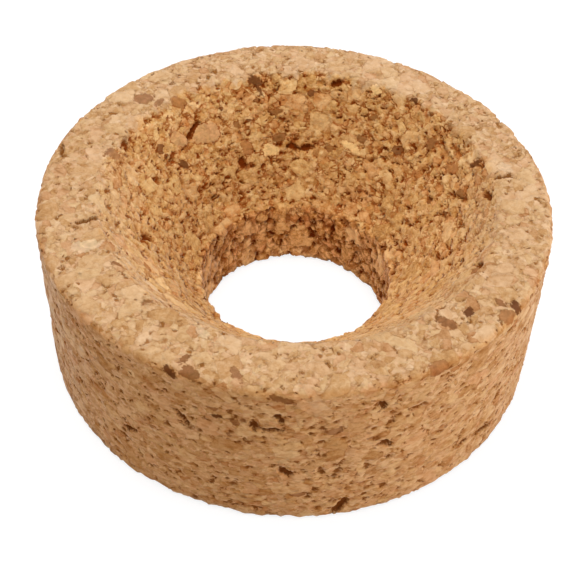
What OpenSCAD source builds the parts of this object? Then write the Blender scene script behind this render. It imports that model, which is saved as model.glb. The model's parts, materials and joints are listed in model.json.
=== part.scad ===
// Cork ring that holds a round-bottomed flask upright on the bench.
// It is one piece of bonded cork granules: a thick disc, a straight bore
// through its middle, and a conical seat cut down from its top face to the bore.
// The cut has torn the seat, so that it is lumpy with coarse crumbs.
// The origin is the centre of the bottom face, and +Z points up through the bore.

/* [Disc] */
// Outer diameter of the ring
outer_d = 80; // [72:1:120]
// Height of the ring, from the face it rests on to the top face
height = 30; // [24:1:45]
// Width of the slope that takes the sharpness off the two outer edges
edge_break = 0.4; // [0.2:0.1:1.5]

/* [Bore and seat] */
// Diameter of the straight bore
bore_d = 31.5; // [16:0.5:42]
// Height of the straight bore, from the bottom face to the foot of the seat
bore_len = 12.5; // [5:0.5:19]
// Diameter of the conical seat where it meets the top face
seat_d = 61.5; // [46:0.5:68]
// Distance between neighbouring crumbs of the torn seat
tear_pitch = 5.8; // [4.6:0.2:9]
// How far the seat is torn away behind the cone that its highest crumbs touch
tear_depth = 0.6; // [0.1:0.1:0.9]

/* [Hidden] */
// Facets of the turned section
$fn = 180;
outer_r = outer_d / 2;
bore_r = bore_d / 2;
seat_r = seat_d / 2;

// The seat's slope, from its foot to its mouth, seen in section
slope = [seat_r - bore_r, height - bore_len];
slope_len = norm(slope);
// Crumbs up the slope and round it, with one more row past either end of the slope
tear_rows = round(slope_len / tear_pitch) + 2;
tear_columns = round(PI * (seat_r + bore_r) / tear_pitch);
// How far a crumb may lie off its place in the rows, as a share of the pitch
tear_scatter = 0.6;
// Three random numbers for each crumb: off its column, off its row, and its depth
tears = rands(0, 1, 3 * tear_rows * tear_columns, 11);

// Half of the ring's section, at the right of its axis, from the foot of the
// bore round the outside to the mouth of the seat and back down
module ring_section() {
    polygon([
        [bore_r, 0],
        [outer_r - edge_break, 0],
        [outer_r, edge_break],
        [outer_r, height - edge_break],
        [outer_r - edge_break, height],
        [seat_r, height],
        [bore_r, bore_len]
    ]);
}

// A crumb of the torn seat, at its depth behind the plain cone. Its row is half a column on from
// the row below it. The lowest row lies before the cone, so that the edge of the bore stays whole.
function crumb(row, column) =
    let (
        first = 3 * (row * tear_columns + column),
        off = [tears[first] - 0.5, tears[first + 1] - 0.5] * tear_scatter,
        turn = (column + row / 2 + off[0]) * 360 / tear_columns,
        along = (row - 0.5 + off[1]) / (tear_rows - 2),
        depth = (row == 0 ? -1 : tears[first + 2]) * tear_depth,
        r = bore_r + along * slope[0] + depth * slope[1] / slope_len,
        z = bore_len + along * slope[1] - depth * slope[0] / slope_len
    )
    [r * cos(turn), r * sin(turn), z];

// The crumb's number in the list of points of the seat's cut
function crumb_at(row, column) = row * tear_columns + column % tear_columns;

// What is torn from the seat: all that lies within the crumbs, with a triangle between each three
module torn_out() {
    last = tear_columns - 1;
    points = [for (row = [0 : tear_rows - 1], column = [0 : last]) crumb(row, column)];
    sides = [
        for (row = [0 : tear_rows - 2], column = [0 : last]) each [
            [crumb_at(row, column), crumb_at(row + 1, column), crumb_at(row, column + 1)],
            [crumb_at(row, column + 1), crumb_at(row + 1, column), crumb_at(row + 1, column + 1)]
        ]
    ];
    foot = [for (column = [0 : last]) crumb_at(0, column)];
    lid = [for (column = [last : -1 : 0]) crumb_at(tear_rows - 1, column)];
    polyhedron(points, concat(sides, [foot, lid]), convexity = 4);
}

// The whole ring, in one piece
module cork_ring() {
    color("burlywood") difference() {
        rotate_extrude() ring_section();
        torn_out();
    }
}

cork_ring();
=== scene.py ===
"""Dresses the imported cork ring: torn, granular cork with its material, a white studio and the camera.

Lengths are metres where a name doesn't say otherwise. Names that end in _mm are millimetres, in
which the grain of the cork is easier to read.
"""

import json
import math

import bpy
import numpy as np
from mathutils import Matrix, Vector


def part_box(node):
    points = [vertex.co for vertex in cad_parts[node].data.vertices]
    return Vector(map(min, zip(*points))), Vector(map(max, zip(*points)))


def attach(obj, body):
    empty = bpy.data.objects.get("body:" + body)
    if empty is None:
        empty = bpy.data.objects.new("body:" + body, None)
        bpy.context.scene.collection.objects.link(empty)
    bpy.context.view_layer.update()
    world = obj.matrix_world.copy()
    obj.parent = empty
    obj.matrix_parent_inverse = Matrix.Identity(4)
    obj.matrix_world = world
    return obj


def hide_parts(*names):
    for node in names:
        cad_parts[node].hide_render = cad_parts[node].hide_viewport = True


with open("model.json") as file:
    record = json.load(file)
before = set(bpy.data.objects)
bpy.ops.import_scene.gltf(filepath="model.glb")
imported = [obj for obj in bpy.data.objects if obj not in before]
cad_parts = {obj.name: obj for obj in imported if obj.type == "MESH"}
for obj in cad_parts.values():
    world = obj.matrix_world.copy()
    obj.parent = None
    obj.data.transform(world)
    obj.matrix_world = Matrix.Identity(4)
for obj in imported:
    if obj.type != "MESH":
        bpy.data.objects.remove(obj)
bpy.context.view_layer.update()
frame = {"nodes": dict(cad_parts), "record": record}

MM = 0.001
NODE = "cork_ring"
MOST_TRIANGLES = 190_000  # in the thinned mesh

# Attributes of the mesh, which the relief, the material and the UV map are made from
REST = "rest_mm"  # where a vertex lay before the relief was cut, in millimetres
INWARD = "inward"  # the way from the surface into the cork
UNROLLED = "unrolled"  # how far along the section a vertex lies, as a direction
FACE = "face"  # the face that a vertex is on, as in FACE_AT, with values between at the edges
SPOT = "spot_mm"  # how far outside the nearest chosen spot a vertex lies, in millimetres
SPOT_TINT = "spot_tint"  # that spot's colour
SPOT_DEEP = "spot_deep_mm"  # how deep that spot is sunk, in millimetres

# The ring's section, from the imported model
low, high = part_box(NODE)
mounts = {m["name"]: m for m in frame["record"]["mounts"]}
outer_mm = (high[0] - low[0]) / 2 / MM
height_mm = (high[2] - low[2]) / MM
bore_mm = mounts["bore"]["dims"]["r_mm"]
bore_len_mm = mounts["bore"]["dims"]["length_mm"]
top_radii = [v.co.xy.length for v in frame["nodes"][NODE].data.vertices if v.co.z > high[2] - MM / 100]
seat_mm = min(top_radii) / MM

# The surface as cut, before its relief
SPARE_MM = 0.02  # how far inside the solid's outer faces the highest crumbs stay
SKIN_MM = 0.18  # how far the surface starts inside the solid, so that its crumbs stay within it
BORE_SKIN_MM = -0.25  # the same for the bore, whose mean comes to lie 0.1 mm in front of the solid's
STEP_MM = 0.22  # spacing of the fine mesh along the section and round the rim
# The radii to which its edges are rounded
ROUND_MM = {"bore_foot": 0.5, "foot": 0.8, "rim": 1.3, "mouth": 0.9, "seat_foot": 0.7}
TURN_IN_MM = 1.2  # how far past an edge the way into the cork goes on turning
RUN_OUT_MM = (0.5, 0.2)  # how far the seat and the bore lie off the ring's axis
RAY_MM = 3.0  # how far in front of the surface a ray to the solid's torn seat starts
FADE_MM = 2.0  # how far past the seat its lumps run out
CREASE_STEPS = 2  # steps of the mesh on either side over which the creases between the lumps are worn

# The UV map
BAKE_MAP = "OFBake"
MAP_EDGE = 0.002  # bare edge round each of its strips

# The faces, in the order of each row's values in GRAIN and DYES. Faces that meet are neighbours here.
FACE_AT = {"wall": 0.0, "flat": 1 / 3, "seat": 2 / 3, "bore": 1.0}

# Where the grain of one face gives way to that of the next
MOUTH_SOFT_MM = 0.35  # half the width of the change from the seat to the top
MOUTH_RAGGED_MM = 0.5  # about how far the line between them wanders
MOUTH_FADE_MM = 8.0  # how far inside the mouth the seat starts to take on the top's grain
MOUTH_SHARE = 0.6  # the share of it that the seat has at the mouth, but for the back
BACK_SINE, FRONT_SINE = 0.6, -0.1  # of the azimuths where the back ends, and where that share is full
BORE_SOFT_MM = 0.3  # half the width of the change from the bore to the seat
BORE_NEAR_MM = 1.0  # the bore's grain ends this far outside its radius
WALL_SOFT_MM = 1.0  # how far inside the outer radius the wall's grain starts
WALL_NEAR_MM = 2.0  # nothing this near the outer radius is seat
FOOT_FADE_MM = (0.3, 1.0)  # the heights between which the underside gives way to the bore or the wall
WAVES = range(9, 180)  # the waves of the line at the mouth, by how many go round the ring
WAVE_SEED = 7
WAVE_SUM = 1.6  # the sum of these waves stays within this for four fifths of the way round

# How the grain differs between the wall, the flat faces, the seat and the bore
GRAIN = {
    # Its form, in millimetres where it is a length
    "rise": (0.07, 0.13, 0.12, 0.16),  # how far a granule lies above or below the others
    "lean": (0.2, 0.42, 0.42, 0.48),  # how steeply it tips
    "shoulder_wide": (0.2, 0.3, 0.3, 0.3),  # how far in from its joint it is rounded off
    "shoulder_deep": (0.04, 0.08, 0.09, 0.09),
    "at_front": (1.0, 0.85, 0.45, 0.65),  # the share of its depth that the grain has at the front
    "hole_start": (0.686, 0.715, 0.675, 0.66),  # a higher one makes fewer and smaller torn holes
    "hole_deep": (0.22, 0.3, 0.45, 0.45),
    "halo_deep": (0.06, 0.08, 0.12, 0.12),  # how far the surface dips round a hole
    "no_pit": (0.835, 0.9, 0.88, 0.87),  # the share of the places for a pit that stay whole
    "pit_reach": (0.35, 0.15, 0.18, 0.2),  # the radius of the smallest pit
    "crack_from": (0.54, 0.49, 0.5, 0.49),  # where the noise starts to open the joints
    "crack_to": (0.7, 0.65, 0.63, 0.66),  # and where it has opened them fully
    "crack_wide": (0.14, 0.17, 0.17, 0.3),
    "crack_deep": (0.0, 0.05, 0.2, 0.2),
    "lumps": (0.08, 0.2, 0.3, 0.34),  # height of the crumbs that are smaller than a granule
    "sway": (0.5, 0.5, 0.2, 0.5),  # height of the slow waves of the surface
    # Its looks, as shares
    "tone": (0.55, 0.52, 0.56, 0.8),  # how far the shade follows the granule
    "mottle": (0.6, 0.62, 0.9, 1.2),  # how far it follows the mottling within the granule
    "specks": (0.12, 0.25, 0.5, 0.6),  # how far it follows the finest specks
    "rusty": (0.5, 0.35, 0.8, 0.7),  # how red the redder granules are
    "bark": (0.5, 0.0, 0.8, 0.8),  # how dark the granules of bark are
    "streaks": (0.8, 0.0, 0.0, 0.0),
    "deep": (0.6, 0.75, 0.9, 0.9),  # how far the low places and the surface round holes get painted shade
    "joint": (0.2, 0.7, 0.7, 0.6),  # how far the open joints are darkened, partly in their own colour and partly with painted shadow
    "dark_hole": (0.85, 0.9, 0.92, 0.95),  # how far the holes take the colour of the voids: partly their own dark colour, partly painted shadow
    "dark_crack": (0.0, 0.0, 0.55, 0.5),  # how far the open joints do, partly as painted shadow
    "dark_deep": (0.0, 0.0, 0.08, 0.4),  # how far the painted shade of the low places darkens them to the colour of the voids
    # Its bump, in shares, but for the holes
    "bump_crumbs": (0.08, 0.14, 0.36, 0.5),  # how far the finest crumbs stand out
    "bump_level": (0.5, 0.5, 0.4, 0.6),  # how far the edges of the granules do
    "bump_hole": (0.05, 0.15, 0.15, 0.15),  # how much deeper the holes look, in millimetres
}


def paint(red, green, blue):
    """The scene's linear colour for a screen colour of 0 to 255."""
    parts = [c / 255 for c in (red, green, blue)]
    return (*[c / 12.92 if c < 0.04045 else ((c + 0.055) / 1.055) ** 2.4 for c in parts], 1.0)


# A granule's colour, by its shade from dark to light
SHADES = (
    (0.0, paint(150, 88, 38)),
    (0.3, paint(194, 138, 84)),
    (0.5, paint(213, 162, 110)),
    (0.7, paint(224, 177, 125)),
    (1.0, paint(237, 197, 144)),
)
# What multiplies it on the wall, the flat faces, the seat and the bore, and the colour of their voids.
# The face dyes are partly each face's own colour and partly painted light: the bore's is lighter to
# make up for the light that hardly reaches into it.
DYES = {
    "face": (
        (0.96, 0.94, 0.92, 1.0), (0.91, 1.04, 1.29, 1.0), (1.04, 1.12, 1.09, 1.0), (1.38, 1.46, 1.4, 1.0),
    ),
    # the open joints: partly their own darker colour, partly painted shadow between the granules
    "joint": (
        (0.66, 0.4, 0.18, 1.0), (0.62, 0.5, 0.36, 1.0), (0.66, 0.4, 0.18, 1.0), (0.66, 0.4, 0.18, 1.0),
    ),
    # painted shade, darker and redder, for the low places and round the holes
    "deep": (
        (0.86, 0.7, 0.5, 1.0), (0.87, 0.8, 0.7, 1.0), (0.86, 0.7, 0.5, 1.0), (0.84, 0.68, 0.5, 1.0),
    ),
    # the voids' colour: partly the cork's own dark colour, partly painted shadow in the holes
    "void": (paint(126, 67, 25), paint(150, 96, 46), paint(142, 60, 10), paint(112, 42, 4)),
}
# What multiplies it in some places
GOLDEN = (1.0, 1.0, 0.92, 1.0)  # in granules of a low hue
ROSY = (1.0, 0.96, 0.945, 1.0)  # in granules of a high one
RUSTY = (0.90, 0.74, 0.62, 1.0)  # in the redder granules
STREAK = (0.8, 0.66, 0.52, 1.0)  # in the streaks of the wall
PAINTED_HOLE_SHADE = (0.62, 0.52, 0.42, 1.0)  # painted shade deep within the chosen holes
BARK = paint(112, 64, 34)
GLOSS = paint(240, 190, 140)  # tint of the faint gloss of cork
SHEEN = paint(250, 244, 232)  # tint of its sheen at a low angle

# The sizes of granule, in millimetres. A big cell is one granule or holds mid cells, and so on.
BIG_MM, MID_MM, TINY_MM = 3.0, 1.5, 0.75
BIG_SHARE = 0.26  # the share of big cells that are one granule
MID_SHARE = 0.42  # the share of mid cells that are one granule
BARK_HUE = (0.988, 0.991)  # granules with a hue past these are bark
BIG_HUE = 0.95  # keeps the big granules from being bark
PRESSED = 1.35  # how many times flatter the granules are pressed along the axis
LOOSENED = 0.5  # what comes off that within the bore
LOOSE_MM = (9, 15)  # up to where outside the bore they are loose, and from where they are pressed
STIR_MM = 0.8  # the joints stray by up to half of this from the straight sides of the cells
FRONT_MM, BACK_MM = -14.0, 16.0  # between these places the grain grows to its full depth
PIT_MM = 1.5  # distance between the places for a pit
PIT_MORE_MM = 0.4  # how much larger in radius the largest pit is than the smallest
PIT_OPEN = 0.35  # the share of a pit's radius within which it has its full depth
CRUMB_MM = 0.55  # size of the crumbs that only the bump shows
FAR_MM = 9.0  # stands for a distance that is far enough to have no say
MIDDLE = (0.5, 0.5, 0.5)  # the mean of three random numbers

# Chips of bark and other cork, and holes, that stand out in the photograph
CHIP_DEEP_MM = 0.06
HOLE_DEEP_MM = 0.45
HOLE_MORE_MM = 0.12  # how far a hole reaches past the size given for it, before its edge is frayed
FAR_SPOT_MM = 2.0  # past this distance a spot has no say
TINTS = {
    "bark": (104, 56, 27),
    "umber": (145, 92, 51),
    "brown": (160, 106, 64),
    "rust": (168, 108, 62),
    "tan": (196, 143, 97),
    "straw": (232, 184, 128),
    "cream": (212, 168, 120),
    "hole": (0, 0, 0),  # which isn't shown
}
# Each spot: what it is, its face, azimuth in degrees, radius on the top or height on another face,
# length, width, and the turn of its length from the way round to the way out or up, in degrees
SPOTS = (
    ("bark", "seat", 105.5, 29.1, 2.4, 1.7, 25),
    ("bark", "seat", 104.5, 27.8, 1.9, 0.7, 75),
    ("tan", "seat", 127.5, 24.2, 5.0, 3.5, 15),
    ("hole", "seat", 132, 25.1, 2.7, 0.7, -30),
    ("bark", "seat", 142.5, 22.1, 2.2, 1.3, 55),
    ("tan", "seat", 139, 25.1, 3.6, 2.4, 45),
    ("rust", "seat", 133, 29.2, 3.0, 1.8, 45),
    ("umber", "seat", 115, 23.9, 1.4, 1.1, 80),
    ("umber", "seat", 99.5, 24.8, 2.4, 0.9, 5),
    ("rust", "seat", 113, 20.8, 2.7, 1.8, 85),
    ("hole", "seat", 116.5, 19.1, 1.6, 0.9, 70),
    ("umber", "seat", 99, 21.5, 2.6, 1.4, -10),
    ("straw", "seat", 103, 20.0, 2.8, 2.1, 5),
    ("hole", "seat", 93, 20.4, 1.5, 0.7, 35),
    ("hole", "seat", 87.5, 20.2, 1.8, 0.7, -15),
    ("hole", "seat", 78.5, 28.8, 1.5, 0.8, -25),
    ("straw", "seat", 65.5, 29.2, 2.1, 1.6, 35),
    ("umber", "seat", 64.5, 22.7, 1.8, 1.4, -5),
    ("umber", "seat", 77, 20.5, 1.7, 1.2, 35),
    ("straw", "seat", 68.5, 21.4, 3.8, 1.4, 10),
    ("umber", "seat", 63, 25.8, 1.8, 0.9, -30),
    ("bark", "top", 52, 31.0, 1.5, 0.9, -15),
    ("umber", "seat", 38.5, 26.3, 2.2, 1.6, -75),
    ("bark", "seat", 19, 28.5, 2.0, 1.2, -60),
    ("umber", "seat", 14, 25.1, 2.1, 1.0, -20),
    ("rust", "seat", 25, 25.9, 2.4, 1.8, -40),
    ("hole", "seat", 5, 28.4, 1.9, 0.8, -20),
    ("rust", "seat", 331.5, 28.7, 1.5, 1.3, 75),
    ("hole", "seat", 333.5, 28.9, 2.6, 0.7, -50),
    ("rust", "seat", 204.5, 22.8, 1.8, 1.2, -60),
    ("tan", "seat", 203.5, 24.3, 2.4, 1.9, -75),
    ("hole", "seat", 185, 21.2, 1.9, 0.9, 75),
    ("hole", "seat", 158, 28.8, 1.5, 0.8, -55),
    ("brown", "top", 140, 34.3, 3.0, 2.4, 15),
    ("brown", "top", 138, 31.8, 2.1, 1.0, -20),
    ("brown", "top", 165, 30.8, 2.8, 1.9, -85),
    ("hole", "top", 167.5, 38.6, 2.0, 0.5, -25),
    ("hole", "top", 194, 32.5, 1.9, 0.5, 80),
    ("cream", "top", 203.5, 33.5, 4.3, 2.4, -90),
    ("umber", "top", 213, 31.0, 1.4, 0.9, -50),
    ("umber", "top", 229.5, 32.1, 1.8, 0.7, -60),
    ("cream", "top", 247, 32.2, 2.8, 1.4, 35),
    ("umber", "top", 247.5, 37.4, 1.6, 0.9, -65),
    ("brown", "top", 259, 37.4, 2.4, 1.1, 55),
    ("cream", "top", 13, 33.7, 2.8, 2.2, -50),
    ("hole", "top", 9.5, 33.2, 2.4, 0.6, 85),
    ("umber", "top", 323.5, 36.7, 1.5, 0.9, -80),
    ("bark", "top", 325, 39.1, 2.3, 1.4, -75),
    ("rust", "top", 321.5, 39.9, 2.6, 2.2, 40),
    ("bark", "top", 316, 34.5, 1.8, 1.3, 10),
    ("umber", "top", 309.5, 33.8, 3.6, 1.4, 65),
    ("rust", "wall", 301, 29.9, 3.1, 2.2, -10),
    ("bark", "wall", 246, 29.5, 2.4, 1.0, -30),
    ("umber", "top", 250, 39.3, 2.8, 1.8, 20),
    ("umber", "wall", 269, 28.4, 3.4, 1.2, -20),
    ("bark", "wall", 256, 22.9, 1.4, 0.9, -30),
    ("hole", "wall", 268.5, 24.1, 1.2, 0.7, -60),
    ("hole", "wall", 263.5, 22.0, 1.4, 0.8, -65),
    ("hole", "wall", 267, 21.5, 1.8, 0.5, 5),
    ("hole", "wall", 248.5, 20.1, 2.1, 0.6, -50),
    ("hole", "wall", 234.5, 11.1, 1.8, 0.7, 20),
    ("hole", "wall", 270, 11.7, 2.0, 1.1, -50),
    ("cream", "wall", 269.5, 14.4, 1.8, 1.2, 20),
    ("hole", "wall", 282, 2.5, 3.3, 1.1, 60),
    ("hole", "wall", 289, 25.3, 1.5, 0.7, -65),
    ("hole", "wall", 291, 16.2, 1.5, 0.8, -40),
    ("hole", "wall", 312, 6.9, 1.5, 0.9, 5),
    ("hole", "wall", 320, 5.6, 3.5, 0.7, -20),
    ("hole", "wall", 73.5, 29.6, 1.6, 1.0, 0),
    ("hole", "wall", 65.5, 29.6, 1.5, 0.9, 0),
    ("hole", "wall", 31.5, 29.5, 1.8, 1.2, 0),
)


# --- Node trees -------------------------------------------------------------------------------------


class Graph:
    """A node tree, with a short call for each kind of node that the scene uses."""

    def __init__(self, tree):
        self.tree = tree

    def node(self, kind, **settings):
        made = self.tree.nodes.new(kind)
        for name, value in settings.items():
            setattr(made, name, value)
        return made

    def feed(self, socket, value):
        if isinstance(value, bpy.types.NodeSocket):
            self.tree.links.new(value, socket)
        else:
            socket.default_value = value

    def math(self, operation, *values):
        made = self.node("ShaderNodeMath", operation=operation)
        for socket, value in zip(made.inputs, values):
            self.feed(socket, value)
        return made.outputs[0]

    def add(self, a, b):
        return self.math("ADD", a, b)

    def less(self, a, b):
        return self.math("SUBTRACT", a, b)

    def times(self, a, b):
        return self.math("MULTIPLY", a, b)

    def most(self, a, b):
        return self.math("MAXIMUM", a, b)

    def vector(self, operation, a, b=None, scale=None):
        made = self.node("ShaderNodeVectorMath", operation=operation)
        self.feed(made.inputs[0], a)
        if b is not None:
            self.feed(made.inputs[1], b)
        if scale is not None:
            self.feed(made.inputs["Scale"], scale)
        return made.outputs["Value" if operation in ("LENGTH", "DOT_PRODUCT") else "Vector"]

    def ease(self, value, low, high, to_low=0.0, to_high=1.0):
        """A smooth step from to_low at low to to_high at high."""
        made = self.node("ShaderNodeMapRange", interpolation_type="SMOOTHSTEP")
        for socket, item in zip(made.inputs, (value, low, high, to_low, to_high)):
            self.feed(socket, item)
        return made.outputs[0]

    def falls(self, value, low, high):
        """A smooth step from 1 at low to 0 at high."""
        return self.ease(value, low, high, 1.0, 0.0)

    def blend(self, share, a, b):
        made = self.node("ShaderNodeMix", data_type="FLOAT")
        for socket, value in zip(made.inputs[0:1] + made.inputs[2:4], (share, a, b)):
            self.feed(socket, value)
        return made.outputs[0]

    def tint(self, share, a, b, kind="MIX"):
        made = self.node("ShaderNodeMix", data_type="RGBA", blend_type=kind)
        for socket, value in zip([made.inputs[0]] + list(made.inputs[6:8]), (share, a, b)):
            self.feed(socket, value)
        return made.outputs[2]

    def dyed(self, colour, dye, share):
        """The colour, with a share of it multiplied by a dye."""
        return self.tint(share, colour, self.tint(1.0, colour, dye, "MULTIPLY"))

    def noise(self, place, size_mm, detail=2.0, rough=0.5, colour=False):
        made = self.node("ShaderNodeTexNoise")
        self.feed(made.inputs["Vector"], place)
        self.feed(made.inputs["Scale"], 1 / size_mm)
        self.feed(made.inputs["Detail"], detail)
        self.feed(made.inputs["Roughness"], rough)
        return made.outputs["Color" if colour else "Fac"]

    def cells(self, place, size_mm, feature="F1"):
        made = self.node("ShaderNodeTexVoronoi", feature=feature)
        self.feed(made.inputs["Vector"], place)
        self.feed(made.inputs["Scale"], 1 / size_mm)
        return made.outputs

    def parts(self, colour):
        made = self.node("ShaderNodeSeparateXYZ")
        self.feed(made.inputs[0], colour)
        return made.outputs

    def join(self, *parts):
        made = self.node("ShaderNodeCombineXYZ")
        for socket, value in zip(made.inputs, parts):
            self.feed(socket, value)
        return made.outputs[0]

    def ramp(self, value, stops):
        """A colour that runs through the stops, each a position and a colour."""
        made = self.node("ShaderNodeValToRGB")
        items = made.color_ramp.elements
        while len(items) < len(stops):
            items.new(0.5)
        for item, (at, colour) in zip(items, stops):
            item.position, item.color = at, colour
        self.feed(made.inputs[0], value)
        return made.outputs["Color"]


def emptied(owner):
    """A graph for the node tree of a new material or world, without the nodes that it came with."""
    owner.use_nodes = True
    owner.node_tree.nodes.clear()
    return Graph(owner.node_tree)


# --- The grain --------------------------------------------------------------------------------------


def by_face(g, face):
    """Two functions: what a row of GRAIN says for the face at hand, and what a row of DYES says."""
    at = list(FACE_AT.values())
    shares = []
    for before, after in zip(at, at[1:]):
        step = g.node("ShaderNodeMapRange")
        for socket, item in zip(step.inputs, (face, before, after, 0.0, 1.0)):
            g.feed(socket, item)
        shares.append(step.outputs[0])

    def pick(name):
        row = GRAIN[name]
        total = row[0]
        for share, before, after in zip(shares, row, row[1:]):
            total = g.math("MULTIPLY_ADD", share, after - before, total)
        return total

    def pick_dye(name):
        total, *others = DYES[name]
        for share, after in zip(shares, others):
            total = g.tint(share, total, after)
        return total

    return pick, pick_dye


def pressed_place(g, place):
    """A place as it was before the block was pressed flat along its axis, less so within the bore."""
    out = g.vector("LENGTH", g.vector("MULTIPLY", place, (1.0, 1.0, 0.0)))
    down = g.most(g.less(bore_len_mm, g.parts(place)[2]), 0.0)
    loose = g.falls(out, bore_mm + LOOSE_MM[0], bore_mm + LOOSE_MM[1])
    eased = g.times(loose, g.times(down, LOOSENED))
    return g.vector("ADD", g.vector("MULTIPLY", place, (1.0, 1.0, PRESSED)), g.join(0.0, 0.0, eased))


def granules(g, place, size_mm):
    """Granules of one size: three random numbers each, the way from the middle, and the distance to
    the joint."""
    cell = g.cells(place, size_mm)
    edge = g.times(g.cells(place, size_mm, "DISTANCE_TO_EDGE")["Distance"], size_mm)
    return g.parts(cell["Color"]), g.vector("SUBTRACT", place, cell["Position"]), edge


def granule_fields(g, bent):
    """The granule at a place: its tone and hue, from 0 to 1, the distance to its joint in mm, its
    height, from -1 to 1, and how far it tips there."""
    big, _, big_edge = granules(g, bent, BIG_MM)
    mid, mid_way, mid_edge = granules(g, bent, MID_MM)
    tiny, _, tiny_edge = granules(g, bent, TINY_MM)
    is_mid = g.math("GREATER_THAN", big[0], BIG_SHARE)
    is_tiny = g.times(is_mid, g.math("GREATER_THAN", mid[0], MID_SHARE))

    def chosen(of_big, of_mid, of_tiny):
        return g.blend(is_tiny, g.blend(is_mid, of_big, of_mid), of_tiny)

    tone = g.times(g.add(chosen(big[1], mid[1], tiny[1]), chosen(big[2], mid[0], tiny[0])), 0.5)
    hue = chosen(g.times(big[2], BIG_HUE), mid[2], tiny[1])
    inner = g.math("MINIMUM", g.blend(is_mid, FAR_MM, mid_edge), g.blend(is_tiny, FAR_MM, tiny_edge))
    edge = g.math("MINIMUM", big_edge, inner)
    height = g.math("MULTIPLY_ADD", chosen(big[2], mid[1], tiny[2]), 2.0, -1.0)
    askew = g.vector("SUBTRACT", g.join(mid[2], mid[1], mid[0]), MIDDLE)
    return tone, hue, edge, height, g.vector("DOT_PRODUCT", mid_way, askew)


def torn_holes(g, pick, place, edge, ragged):
    """Ragged holes where crumbs are torn out, mostly where granules meet, and the surface round them,
    both from 0 to 1."""
    at_joint = g.falls(edge, 0.0, 0.4)
    uneven = g.math("MULTIPLY_ADD", g.noise(place, 7.0, detail=1.0), 0.16, -0.08)
    # A hole opens where the noise passes its start, and joints and some patches raise the noise
    raised = g.add(g.math("MULTIPLY_ADD", at_joint, 0.12, ragged), uneven)
    start = pick("hole_start")
    gap = g.ease(raised, start, g.add(start, 0.1))
    halo = g.ease(raised, g.less(start, 0.12), g.add(start, 0.05))
    return gap, halo


def pits(g, pick, bent):
    """Rounder holes, where a crumb fell out or a pore was cut, from 0 to 1."""
    pit = g.cells(bent, PIT_MM)
    chance = g.parts(pit["Color"])
    is_pit = g.math("GREATER_THAN", chance[1], pick("no_pit"))
    reach = g.math("MULTIPLY_ADD", chance[0], PIT_MORE_MM, pick("pit_reach"))
    return g.times(is_pit, g.falls(g.times(pit["Distance"], PIT_MM), g.times(reach, PIT_OPEN), reach))


def cork_fields(g, pick, place, spot_mm, spot_deep):
    """The grain of the cork at a place, in millimetres: the same fields shape the mesh and colour it.

    Returns a dict of sockets. tone and hue are the granule's, from 0 to 1, and level is how far the
    grain is sunk, in mm. gap, halo and crack say how far there is a hole, the surface round one or an
    open joint, and chip how far there is a chosen chip, from 0 to 1; hollow says how far
    there is painted shade within a chosen hole. torn is the share of its full depth that the grain has,
    and bent is the place among the cells of the granules.
    """
    pressed = pressed_place(g, place)
    stir = g.vector("SUBTRACT", g.noise(pressed, 1.1, detail=3.0, rough=0.6, colour=True), MIDDLE)
    bent = g.vector("ADD", pressed, g.vector("SCALE", stir, scale=STIR_MM))
    tone, hue, edge, height, lean = granule_fields(g, bent)
    # Each granule lies at its own height and a little askew, with rounded shoulders where it is torn
    shoulder = g.falls(edge, 0.0, pick("shoulder_wide"))
    level = g.add(g.times(height, pick("rise")), g.times(lean, pick("lean")))
    level = g.add(level, g.times(shoulder, pick("shoulder_deep")))
    # The grain has its full depth at the back, and the seat and the bore are calmer at the front
    torn = g.ease(g.parts(place)[1], FRONT_MM, BACK_MM, pick("at_front"), 1.0)
    level = g.times(level, torn)
    ragged = g.noise(pressed, 1.25, detail=3.0, rough=0.55)
    gap, halo = torn_holes(g, pick, place, edge, ragged)
    gap = g.most(gap, pits(g, pick, bent))
    # Thin cracks run along some of the joints, dark partly in their own colour and partly with painted
    # shadow
    open_here = g.ease(g.noise(place, 1.6, rough=0.6), pick("crack_from"), pick("crack_to"))
    crack = g.times(g.falls(edge, 0.0, pick("crack_wide")), g.times(open_here, torn))
    # A chosen spot takes the place of the grain: a chip with its own colour, or a hole, both frayed
    frayed = g.math("MULTIPLY_ADD", g.less(g.noise(place, 0.7, detail=3.0, rough=0.65), 0.5), 1.4, spot_mm)
    spot = g.falls(frayed, -0.12, 0.12)
    others = g.less(1.0, spot)
    is_hole = g.math("GREATER_THAN", spot_deep, CHIP_DEEP_MM * 2)
    open_hole = g.times(spot, is_hole)
    # The joint round it is open here and there
    rim = g.times(g.falls(g.math("ABSOLUTE", frayed), 0.0, 0.16), g.ease(ragged, 0.42, 0.52))
    rim = g.times(rim, g.falls(spot_mm, 0.9, 1.0))
    hole_edge = g.times(g.falls(spot_mm, 0.0, 0.45), is_hole)
    spot_level = g.math("MULTIPLY_ADD", level, 0.3, g.times(spot_deep, 0.5))
    return {
        "tone": tone,
        "hue": hue,
        "level": g.blend(spot, level, spot_level),
        "gap": g.most(g.times(gap, others), open_hole),
        "halo": g.most(g.times(halo, others), hole_edge),
        "crack": g.most(g.times(crack, others), rim),
        "chip": g.less(spot, open_hole),
        # where a chosen hole gets painted shade, deep inside it
        "hollow": g.times(g.falls(frayed, -0.25, 0.05), is_hole),
        "torn": torn,
        "bent": bent,
    }


# --- The mesh ---------------------------------------------------------------------------------------


def ease(value, low, high):
    """A smooth step from 0 at low to 1 at high."""
    t = np.clip((value - low) / (high - low), 0, 1)
    return t * t * (3 - 2 * t)


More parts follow.
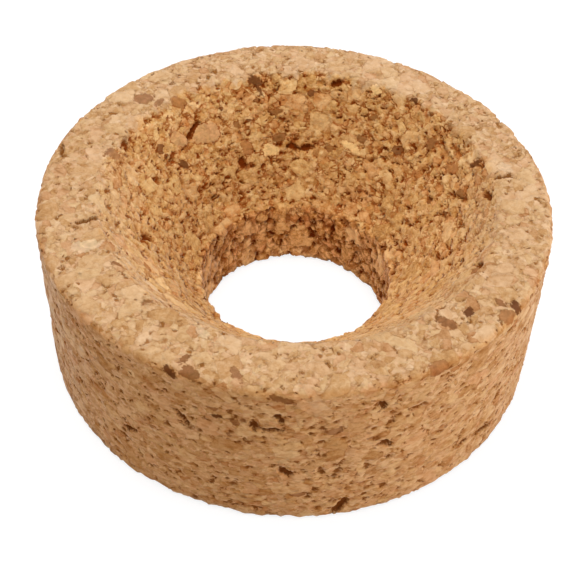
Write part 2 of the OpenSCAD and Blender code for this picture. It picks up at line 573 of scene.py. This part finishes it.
def filleted(corners, radii, step):
    """Points, step apart, along a closed section whose corners are rounded, as an array of (r, z)."""
    count = len(corners)
    cuts = []
    for i in range(count):
        here, before, after = (np.array(corners[j % count], float) for j in (i, i - 1, i + 1))
        back = (before - here) / np.linalg.norm(before - here)
        on = (after - here) / np.linalg.norm(after - here)
        half = math.acos(np.clip(back @ on, -1, 1)) / 2
        reach = radii[i] / math.tan(half)
        centre = here + (back + on) / np.linalg.norm(back + on) * radii[i] / math.sin(half)
        cuts.append((here + back * reach, here + on * reach, centre))
    made = []
    for i, (start, end, centre) in enumerate(cuts):
        first = math.atan2(*(start - centre)[::-1])
        last = math.atan2(*(end - centre)[::-1])
        turn = (last - first + math.pi) % (2 * math.pi) - math.pi
        pieces = max(2, math.ceil(abs(turn) * radii[i] / step))
        for k in range(pieces):
            angle = first + turn * k / pieces
            made.append(centre + radii[i] * np.array([math.cos(angle), math.sin(angle)]))
        following = cuts[(i + 1) % count][0]
        pieces = max(1, round(np.linalg.norm(following - end) / step))
        for k in range(pieces):
            made.append(end + (following - end) * k / pieces)
    return np.array(made)


def section():
    """The section of the surface as cut: its points, the way into the cork at each, and which of them
    are nearest to its five corners."""
    r_in, r_out, r_seat = bore_mm + BORE_SKIN_MM, outer_mm - SKIN_MM, seat_mm + SKIN_MM
    z_low, z_high = SKIN_MM, height_mm - SKIN_MM
    corners = [(r_in, z_low), (r_out, z_low), (r_out, z_high), (r_seat, z_high), (r_in, bore_len_mm)]
    radii = [ROUND_MM[k] for k in ("bore_foot", "foot", "rim", "mouth", "seat_foot")]
    points = filleted(corners, radii, STEP_MM)
    ends = [np.linalg.norm(points - corner, axis=1).argmin() for corner in corners]
    along = np.roll(points, -1, 0) - np.roll(points, 1, 0)
    along /= np.linalg.norm(along, axis=1)[:, None]
    into = np.stack([-along[:, 1], along[:, 0]], 1)
    # The way in turns slowly past a corner, so that deep pits there don't cross
    window = int(TURN_IN_MM / STEP_MM)
    into = sum(np.roll(into, k, 0) for k in range(-window, window + 1))
    into /= np.linalg.norm(into, axis=1)[:, None]
    return points, into, ends


def spot_fields(points, angle):
    """For each vertex: how far it lies outside the nearest chosen spot, that spot's colour, and its depth.

    A spot is measured along the unrolled section, so that one at an edge goes over it.
    """
    run = np.concatenate([[0], np.cumsum(np.linalg.norm(np.diff(points, axis=0), axis=1))])
    r, z = points[:, 0], points[:, 1]
    on_face = {
        "top": z > height_mm - 2 * SKIN_MM,
        "wall": r > outer_mm - 2 * SKIN_MM,
        "seat": (r < seat_mm) & (z > bore_len_mm),
    }
    least = np.full((len(angle), len(points)), FAR_SPOT_MM)
    tint = np.zeros((len(angle), len(points), 3))
    deep = np.zeros((len(angle), len(points)))
    for kind, face, azimuth, along, length, width, turn in SPOTS:
        off = np.abs((r if face == "top" else z) - along)
        at = np.where(on_face[face], off, np.inf).argmin()
        up = (run - run[at]) * (1 if face == "wall" else -1)
        near = np.flatnonzero(np.abs(up) < length + FAR_SPOT_MM)
        lag = (angle - math.radians(azimuth) + math.pi) % (2 * math.pi) - math.pi
        cos, sin = math.cos(math.radians(turn)), math.sin(math.radians(turn))
        round_by, up_by = (lag * r[at])[:, None], up[near][None]
        lengthwise = np.abs(round_by * cos + up_by * sin) / length * 2
        widthwise = np.abs(up_by * cos - round_by * sin) / width * 2
        outside = ((lengthwise**3 + widthwise**3) ** (1 / 3) - 1) * width / 2
        outside -= HOLE_MORE_MM if kind == "hole" else 0.0
        closer = outside < least[:, near]
        least[:, near] = np.where(closer, outside, least[:, near])
        tint[:, near] = np.where(closer[..., None], paint(*TINTS[kind])[:3], tint[:, near])
        deep[:, near] = np.where(closer, HOLE_DEEP_MM if kind == "hole" else CHIP_DEEP_MM, deep[:, near])
    return least, tint, deep


def wander(angle, size):
    """A ragged line round the ring: waves 1 to 20 mm long at the mouth, each with its own lag."""
    lags = np.random.default_rng(WAVE_SEED).uniform(0, 2 * math.pi, WAVES.stop)
    waves = [np.sin(k * angle + lags[k]) / k**0.5 for k in WAVES]
    return sum(waves) * size / WAVE_SUM


def face_field(points, angle):
    """The face that each vertex is on, as in FACE_AT.

    The torn seat ends at the back in a ragged line, which wanders about the mouth, and elsewhere it
    runs out into the top face.
    """
    r, z = points[:, 0][None], points[:, 1][None]
    # Below the foot of the seat, all that isn't near the wall counts as far inside the mouth
    past_mouth = np.where(z > bore_len_mm, r - seat_mm, -FAR_MM) + wander(angle[:, None], MOUTH_RAGGED_MM)
    run_out = MOUTH_SHARE * ease(np.sin(angle[:, None]), BACK_SINE, FRONT_SINE)
    seat = ease(past_mouth, MOUTH_SOFT_MM, -MOUTH_SOFT_MM)
    seat = seat * (1 - run_out * ease(past_mouth, -MOUTH_FADE_MM, 0.0)) * (r < outer_mm - WALL_NEAR_MM)
    bore = ease(bore_len_mm - z, -BORE_SOFT_MM, BORE_SOFT_MM) * (r < bore_mm + BORE_NEAR_MM)
    wall = ease(r, outer_mm - WALL_SOFT_MM, outer_mm - SKIN_MM)
    steps = (wall, "flat", "wall"), (seat, "flat", "seat"), (bore, "seat", "bore")
    off_flat = sum(share * (FACE_AT[to] - FACE_AT[start]) for share, start, to in steps)
    return FACE_AT["flat"] + off_flat * ease(z, *FOOT_FADE_MM)


def torn_away(place, inward, on_seat):
    """How far the solid's lumpy seat lies behind a plain cone, in mm, at each turn and row of the mesh."""
    solid = frame["nodes"][NODE]
    rows = np.flatnonzero(on_seat)
    starts = (place[:, rows] - RAY_MM * inward[:, rows]) * MM
    torn = np.zeros(place.shape[:2])
    for t, (from_here, ways) in enumerate(zip(starts.tolist(), inward[:, rows].tolist())):
        for k, start, way in zip(rows, from_here, ways):
            hit, at, _, _ = solid.ray_cast(start, way)
            torn[t, k] = (at - Vector(start)).length / MM - RAY_MM + SKIN_MM if hit else 0.0
    # The lumps run out over the rounded mouth and foot, and their creases are worn soft
    for end, step in ((rows[0], -1), (rows[-1], 1)):
        for k in range(1, round(FADE_MM / STEP_MM)):
            torn[:, end + step * k] = torn[:, end] * (1 - ease(k * STEP_MM, 0.0, FADE_MM))
    worn = range(-CREASE_STEPS, CREASE_STEPS + 1)
    for axis in (0, 1):
        torn = sum(np.roll(torn, k, axis) for k in worn) / len(worn)
    return np.maximum(torn, 0.0)


def turned_surface(points, into, angle):
    """Where each vertex lies before its relief, and the way into the cork there, by turn and row."""
    turns, rows = len(angle), len(points)
    cos, sin = np.cos(angle)[:, None], np.sin(angle)[:, None]
    r, z = points[:, 0][None], points[:, 1][None]
    place = np.stack([r * cos, r * sin, np.broadcast_to(z, (turns, rows))], -1)
    inward = np.stack([into[:, 0] * cos, into[:, 0] * sin, np.broadcast_to(into[:, 1], (turns, rows))], -1)
    z_start, z_end = bore_len_mm + ROUND_MM["seat_foot"], height_mm - ROUND_MM["mouth"]
    on_slope = (z > z_start) & (z < z_end) & (r < seat_mm)
    place += torn_away(place, inward, on_slope[0])[..., None] * inward
    # The seat and the bore lie a little off the axis, and the outer wall doesn't
    share = ease(outer_mm - SKIN_MM - r, 0.0, outer_mm - seat_mm)[..., None]
    place[..., :2] += share * np.array(RUN_OUT_MM)
    return place, inward


def grid_mesh(place):
    """A mesh of quads through a grid of places in millimetres, which closes on itself both ways."""
    turns, rows = place.shape[:2]
    here = np.arange(turns)[:, None] * rows
    there = (np.arange(turns)[:, None] + 1) % turns * rows
    k, following = np.arange(rows)[None], (np.arange(rows)[None] + 1) % rows
    faces = np.stack([here + k, here + following, there + following, there + k], -1).reshape(-1, 4)
    mesh = bpy.data.meshes.new("cork")
    mesh.vertices.add(turns * rows)
    mesh.vertices.foreach_set("co", (place * MM).ravel())
    mesh.loops.add(faces.size)
    mesh.loops.foreach_set("vertex_index", faces.ravel())
    mesh.polygons.add(len(faces))
    mesh.polygons.foreach_set("loop_start", np.arange(len(faces)) * 4)
    mesh.update(calc_edges=True)
    mesh.validate()
    return mesh


def revolved():
    """The fine mesh of the ring before its relief, with the attributes that the rest is made from."""
    points, into, _ = section()
    rows = len(points)
    turns = round(2 * math.pi * outer_mm / STEP_MM)
    angle = np.arange(turns) * 2 * math.pi / turns
    place, inward = turned_surface(points, into, angle)
    lag = np.arange(rows) * 2 * math.pi / rows
    unrolled = np.broadcast_to(np.stack([np.cos(lag), np.sin(lag), lag * 0], -1), (turns, rows, 3))
    spot_mm, spot_tint, spot_deep = spot_fields(points, angle)
    mesh = grid_mesh(place)
    for name, kind, key, values in (
        (REST, "FLOAT_VECTOR", "vector", place),
        (UNROLLED, "FLOAT_VECTOR", "vector", unrolled),
        (INWARD, "FLOAT_VECTOR", "vector", inward),
        (FACE, "FLOAT", "value", face_field(points, angle)),
        (SPOT, "FLOAT", "value", spot_mm),
        (SPOT_TINT, "FLOAT_VECTOR", "vector", spot_tint),
        (SPOT_DEEP, "FLOAT", "value", spot_deep),
    ):
        layer = mesh.attributes.new(name, kind, "POINT")
        layer.data.foreach_set(key, np.ascontiguousarray(values, np.float32).ravel())
    return mesh


def relief_tree():
    """Geometry nodes that sink each vertex into the cork by the depth of the grain there."""
    tree = bpy.data.node_groups.new("relief", "GeometryNodeTree")
    tree.interface.new_socket("Geometry", in_out="INPUT", socket_type="NodeSocketGeometry")
    tree.interface.new_socket("Geometry", in_out="OUTPUT", socket_type="NodeSocketGeometry")
    g = Graph(tree)
    start, end = g.node("NodeGroupInput"), g.node("NodeGroupOutput")

    def read(name, kind="FLOAT"):
        made = g.node("GeometryNodeInputNamedAttribute", data_type=kind)
        made.inputs["Name"].default_value = name
        return made.outputs["Attribute"]

    place, inward = read(REST, "FLOAT_VECTOR"), read(INWARD, "FLOAT_VECTOR")
    pick, _ = by_face(g, read(FACE))
    f = cork_fields(g, pick, place, read(SPOT), read(SPOT_DEEP))
    depth = g.add(f["level"], g.times(f["gap"], pick("hole_deep")))
    depth = g.add(depth, g.times(f["halo"], pick("halo_deep")))
    depth = g.add(depth, g.times(f["crack"], pick("crack_deep")))
    lumps = g.times(g.less(0.5, g.noise(place, 0.8, detail=3.0, rough=0.65)), f["torn"])
    depth = g.add(depth, g.times(lumps, pick("lumps")))
    sway = g.less(0.5, g.noise(place, 9.0))
    depth = g.add(depth, g.times(sway, pick("sway")))
    depth = g.most(depth, SPARE_MM - SKIN_MM)
    move = g.node("GeometryNodeSetPosition")
    g.feed(move.inputs["Geometry"], start.outputs[0])
    g.feed(move.inputs["Offset"], g.vector("SCALE", inward, scale=g.times(depth, MM)))
    g.feed(end.inputs[0], move.outputs[0])
    return tree


def numbers(mesh, name, key="vector", width=3):
    """An attribute of the mesh as an array, with a row for each vertex."""
    found = np.empty(len(mesh.attributes[name].data) * width, np.float32)
    mesh.attributes[name].data.foreach_get(key, found)
    return found.reshape(-1, width).astype(float)


def applied(thing):
    """Replaces an object's mesh with what its modifiers make of it."""
    bpy.context.view_layer.update()
    made = bpy.data.meshes.new_from_object(thing.evaluated_get(bpy.context.evaluated_depsgraph_get()))
    thing.modifiers.clear()
    thing.data = made


def thinned(thing):
    """Takes triangles away where the mesh is flat, but not at the chosen spots, which need them."""
    spots = np.flatnonzero(numbers(thing.data, SPOT, "value", 1)[:, 0] < 2 * STEP_MM)
    kept = thing.vertex_groups.new(name="spots")
    kept.add(spots.tolist(), 1.0, "REPLACE")
    thin = thing.modifiers.new("thin", "DECIMATE")
    thin.ratio = MOST_TRIANGLES / (2 * len(thing.data.polygons))
    thin.use_collapse_triangulate = True
    thin.vertex_group, thin.invert_vertex_group = kept.name, True
    applied(thing)
    thing.vertex_groups.clear()


def held_in(mesh):
    """Puts back the vertices that thinning has pushed out past the solid's own faces."""
    place = numbers(mesh, "position")
    place[:, 2] = np.clip(place[:, 2], SPARE_MM * MM, (height_mm - SPARE_MM) * MM)
    out = np.linalg.norm(place[:, :2], axis=1)
    place[:, :2] *= np.minimum(1, (outer_mm - SPARE_MM) * MM / out)[:, None]
    mesh.vertices.foreach_set("co", place.ravel())
    mesh.update()


def unrolled_angles(way, corners):
    """How far round each corner of each triangle lies, in turns and without a jump inside a triangle,
    and how far round its middle lies, from 0 to 1."""
    turn = (np.arctan2(way[:, 1], way[:, 0]) / (2 * math.pi))[corners]
    turn = turn[:, :1] + (turn - turn[:, :1] + 0.5) % 1 - 0.5
    middle = turn.mean(1, keepdims=True)
    return turn - np.floor(middle), middle[:, 0] % 1


def map_strips():
    """The strips of the map, each an underside, a wall, a top, a seat or a bore, or half of one.

    Each has the place along the section where it starts and how far it goes, the place round the
    ring where it starts and how far it goes, as shares of a whole turn, and its area in square mm.
    """
    points, _, ends = section()
    strips = []
    for end, following, halves in zip(ends, ends[1:] + ends[:1], (1, 2, 2, 1, 1)):
        span = (following - end) % len(points)
        circle = 2 * math.pi * np.roll(points[:, 0], -end)[:span].mean()
        area = span * STEP_MM * circle / halves
        for half in range(halves):
            strips.append((end / len(points), span / len(points), half / halves, 1 / halves, area))
    return strips


def lay_out(mesh):
    """Gives the mesh a UV map: its faces unrolled into strips, each as wide as the map."""
    corners = np.empty(len(mesh.loops), np.int32)
    mesh.loops.foreach_get("vertex_index", corners)
    corners = corners.reshape(-1, 3)
    round_by, middle_round = unrolled_angles(numbers(mesh, REST), corners)
    along, middle_along = unrolled_angles(numbers(mesh, UNROLLED), corners)
    strips = map_strips()
    whole = sum(area for *_, area in strips)
    laid = np.zeros((len(corners), 3, 2))
    foot = 0.0
    for start, span, begin, share, area in strips:
        past = (middle_along - start) % 1
        on = (past < span) & (middle_round >= begin) & (middle_round < begin + share)
        up = along[on] - middle_along[on][:, None] + past[on][:, None]
        tall = area / whole
        for axis, value, low_edge, size in ((0, -round_by[on], 0.0, 1.0), (1, up, foot, tall)):
            value = (value - value.min()) / (value.max() - value.min())
            laid[on, :, axis] = low_edge + MAP_EDGE + value * (size - 2 * MAP_EDGE)
        foot += tall
    layer = mesh.uv_layers.new(name=BAKE_MAP)
    layer.uv.foreach_set("vector", laid.ravel().astype(np.float32))


def cork_body():
    """The ring itself, with its relief cut in a fine mesh that is then thinned."""
    thing = bpy.data.objects.new("cork_body", revolved())
    bpy.context.collection.objects.link(thing)
    thing.modifiers.new("relief", "NODES").node_group = relief_tree()
    applied(thing)
    thinned(thing)
    held_in(thing.data)
    lay_out(thing.data)
    thing.data.polygons.foreach_set("use_smooth", [True] * len(thing.data.polygons))
    thing.data.materials.append(cork_material())
    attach(thing, "root")
    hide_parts(NODE)


# --- Materials --------------------------------------------------------------------------------------


def granule_colour(g, pick, f, place, spot_tint):
    """The colour of the granule or the chosen chip at a place."""
    mottle = g.noise(f["bent"], 0.9, detail=3.0, rough=0.6)
    specks = g.noise(place, 0.3, rough=0.6)
    shade = g.math("MULTIPLY_ADD", g.less(f["tone"], 0.5), pick("tone"), 0.5)
    shade = g.add(shade, g.times(g.less(mottle, 0.5), pick("mottle")))
    shade = g.add(shade, g.times(g.less(specks, 0.5), pick("specks")))
    colour = g.ramp(shade, SHADES)
    # Some granules are of a redder cork, in patches, and a few are dark bark
    redder = g.ease(g.math("MULTIPLY_ADD", g.noise(place, 6.0), 0.5, g.less(f["hue"], 0.25)), 0.80, 0.92)
    colour = g.dyed(colour, RUSTY, g.times(redder, pick("rusty")))
    colour = g.tint(g.times(g.ease(f["hue"], *BARK_HUE), pick("bark")), colour, BARK)
    # A chosen chip has its own colour, mottled like the others
    uneven = g.add(g.math("MULTIPLY_ADD", specks, 0.35, 0.275), g.times(mottle, 1.1))
    colour = g.tint(g.times(f["chip"], 0.94), colour, g.vector("SCALE", spot_tint, scale=uneven))
    warmth = g.ease(g.math("MULTIPLY_ADD", f["hue"], 0.6, g.times(mottle, 0.4)), 0.25, 0.75)
    return g.tint(1.0, colour, g.tint(warmth, GOLDEN, ROSY), "MULTIPLY")


def cork_colour(g, pick, pick_dye, f, place, spot_tint):
    """The colour of the cork at a place, with painted shade where it is low, and darker in its joints
    and holes, partly in their own colour and partly with painted shadow.
    """
    colour = granule_colour(g, pick, f, place, spot_tint)
    # Each face's dye: partly its own colour, partly painted light, the bore lighter to make up for the
    # light that hardly reaches into it
    colour = g.tint(1.0, colour, pick_dye("face"), "MULTIPLY")
    # The wall is streaked with redder cork, the way that its granules lie
    flattened = g.vector("MULTIPLY", place, (1.0, 1.0, 1.7))
    streak = g.ease(g.noise(flattened, 2.0, detail=3.0, rough=0.6), 0.46, 0.66)
    colour = g.dyed(colour, STREAK, g.times(streak, pick("streaks")))
    # Painted shade: the low places and the surface round the holes are darker and redder, as shade and
    # light bounced among the crumbs would make them
    deep = g.most(g.ease(f["level"], 0.02, 0.25), f["halo"])
    colour = g.dyed(colour, pick_dye("deep"), g.times(deep, pick("deep")))
    # The open joints are darker: partly their own colour, partly painted shadow between the granules
    colour = g.dyed(colour, pick_dye("joint"), g.times(f["crack"], pick("joint")))
    # The holes, the open joints and the low places take the colour of the voids: partly their own colour,
    # partly painted shadow and shade
    dark = g.most(g.times(f["gap"], pick("dark_hole")), g.times(f["crack"], pick("dark_crack")))
    dark = g.most(dark, g.times(deep, pick("dark_deep")))
    colour = g.tint(dark, colour, pick_dye("void"))
    # Painted shade deep within the chosen holes
    return g.dyed(colour, PAINTED_HOLE_SHADE, f["hollow"])


def cork_bump(g, pick, f, place):
    """What is too small for the mesh: the facets of crumbs, and the edges of the granules and holes."""
    crumb = g.cells(f["bent"], CRUMB_MM)
    off_middle = g.vector("SUBTRACT", f["bent"], crumb["Position"])
    facet = g.vector("DOT_PRODUCT", off_middle, g.vector("SUBTRACT", crumb["Color"], MIDDLE))
    rough = g.less(g.noise(place, 0.35, detail=3.0, rough=0.6), 0.5)
    crumbs = g.add(g.times(facet, 0.5), g.times(rough, 0.16))
    crumbs = g.times(g.times(crumbs, f["torn"]), pick("bump_crumbs"))
    # A chosen chip is smoother
    crumbs = g.times(crumbs, g.math("MULTIPLY_ADD", f["chip"], -0.6, 1.0))
    sunk = g.add(g.times(f["level"], pick("bump_level")), g.times(f["gap"], pick("bump_hole")))
    bump = g.node("ShaderNodeBump")
    bump.inputs["Distance"].default_value = MM
    g.feed(bump.inputs["Height"], g.less(crumbs, sunk))
    return bump.outputs[0]


def cork_material():
    """Cork: matt, with a faint gloss and sheen that its voids and its bark have less of."""
    material = bpy.data.materials.new("cork")
    g = emptied(material)

    def read(name, output="Fac"):
        return g.node("ShaderNodeAttribute", attribute_name=name).outputs[output]

    place = read(REST, "Vector")
    pick, pick_dye = by_face(g, read(FACE))
    f = cork_fields(g, pick, place, read(SPOT), read(SPOT_DEEP))
    colour = cork_colour(g, pick, pick_dye, f, place, read(SPOT_TINT, "Vector"))
    shine = g.ease(g.parts(colour)[1], 0.07, 0.36)
    shader = g.node("ShaderNodeBsdfPrincipled")
    for name, value in (
        ("Base Color", colour),
        ("Roughness", 0.85),
        ("Specular IOR Level", g.times(shine, 0.25)),
        ("Specular Tint", GLOSS),
        ("Sheen Weight", g.times(shine, 0.3)),
        ("Sheen Roughness", 0.35),
        ("Sheen Tint", SHEEN),
        ("Normal", cork_bump(g, pick, f, place)),
    ):
        g.feed(shader.inputs[name], value)
    g.feed(g.node("ShaderNodeOutputMaterial").inputs[0], shader.outputs[0])
    return material


def seen(g):
    """1 for what the camera sees, by itself or in a reflection, and 0 for what lights the scene."""
    path = g.node("ShaderNodeLightPath").outputs
    return g.most(path["Is Camera Ray"], g.most(path["Is Glossy Ray"], path["Is Transmission Ray"]))


def floor_material():
    """White to the camera, with the ring's shadow, and a plain pale floor to everything else."""
    material = bpy.data.materials.new("floor")
    g = emptied(material)
    paper = g.node("ShaderNodeBsdfDiffuse")
    paper.inputs["Color"].default_value = (0.8, 0.8, 0.8, 1)
    faint = g.node("ShaderNodeBsdfDiffuse")
    faint.inputs["Color"].default_value = (0.25, 0.25, 0.25, 1)
    glow = g.node("ShaderNodeEmission")
    glow.inputs["Strength"].default_value = 0.82
    shown = g.node("ShaderNodeAddShader")
    g.feed(shown.inputs[0], faint.outputs[0])
    g.feed(shown.inputs[1], glow.outputs[0])
    either = g.node("ShaderNodeMixShader")
    g.feed(either.inputs[0], seen(g))
    g.feed(either.inputs[1], paper.outputs[0])
    g.feed(either.inputs[2], shown.outputs[0])
    g.feed(g.node("ShaderNodeOutputMaterial").inputs[0], either.outputs[0])
    return material


# --- The studio -------------------------------------------------------------------------------------

# Each lamp's name, place, width, power in watts and colour
LAMPS = (
    ("above", (0, 0, 0.9), 0.5, 6.2, (1, 1, 1)),
    ("front", (0.2, -0.67, 0.6), 0.4, 1.25, (1, 1, 1)),
    ("back", (0, 0.32, 0.22), 0.2, 0.34, (0.9, 0.98, 1.15)),
    ("back_left", (-0.5, 0.5, 0.6), 0.4, 1.1, (1, 1, 1)),
    ("low_right", (0.85, -0.2, 0.12), 0.3, 4.25, (0.95, 1.05, 1.22)),
    ("left", (-0.8, 0, 0.35), 0.5, 0.6, (1, 1, 1)),
)
ROOM_LIGHT = 0.176  # how strongly the white room lights the scene


def floor():
    side = 0.42  # half the width: past it the lamps no longer light the floor to white
    corners = [(x * side, y * side, 0) for x, y in ((-1, -1), (1, -1), (1, 1), (-1, 1))]
    mesh = bpy.data.meshes.new("floor")
    mesh.from_pydata(corners, [], [(0, 1, 2, 3)])
    thing = bpy.data.objects.new("floor", mesh)
    bpy.context.collection.objects.link(thing)
    mesh.materials.append(floor_material())


def lamp(name, place, size, watts, colour):
    """A square soft box that faces the ring."""
    data = bpy.data.lights.new(name, "AREA")
    data.size, data.energy, data.color = size, watts, colour
    thing = bpy.data.objects.new(name, data)
    thing.location = place
    ahead = Vector((0, 0, height_mm * MM / 2)) - Vector(place)
    thing.rotation_euler = ahead.to_track_quat("-Z", "Y").to_euler()
    bpy.context.collection.objects.link(thing)


def sky():
    """A white room: white to the camera, and a soft light to everything else."""
    world = bpy.data.worlds.new("room")
    bpy.context.scene.world = world
    g = emptied(world)
    back = g.node("ShaderNodeBackground")
    back.inputs["Color"].default_value = (1, 1, 1, 1)
    g.feed(back.inputs["Strength"], g.blend(seen(g), ROOM_LIGHT, 1.0))
    g.feed(g.node("ShaderNodeOutputWorld").inputs[0], back.outputs[0])


def camera():
    """The view of the photograph, fitted to the ring's outline in it: from the front, high and close."""
    lens_mm, sensor_mm = 76.4, 36.0
    away = 0.2118 * (outer_mm - SKIN_MM) / outer_mm  # from the origin, for the ring without its skin
    # How high the camera stands, how far it looks above and beside the origin, and its roll
    up, lift, swing, roll = (math.radians(a) for a in (47.788, 1.590, -0.179, 2.070))
    place = Vector((0, -away * math.cos(up), away * math.sin(up)))
    ahead = -place.normalized()
    side = Vector((1, 0, 0))
    above = side.cross(ahead)
    ahead = ahead * math.cos(lift) + above * math.sin(lift)
    above = side.cross(ahead)
    ahead = ahead * math.cos(swing) + side * math.sin(swing)
    side = ahead.cross(above).normalized()
    above = side.cross(ahead)
    right = side * math.cos(roll) + above * math.sin(roll)
    above = right.cross(ahead)
    data = bpy.data.cameras.new("camera")
    data.lens, data.sensor_width = lens_mm, sensor_mm
    data.clip_start = 0.01
    thing = bpy.data.objects.new("camera", data)
    turned = Matrix((right, above, -ahead)).transposed()
    thing.matrix_world = Matrix.Translation(place) @ turned.to_4x4()
    bpy.context.collection.objects.link(thing)
    bpy.context.scene.camera = thing


camera()
cork_body()
floor()
sky()
for settings in LAMPS:
    lamp(*settings)
bpy.context.scene.view_settings.view_transform = "Standard"
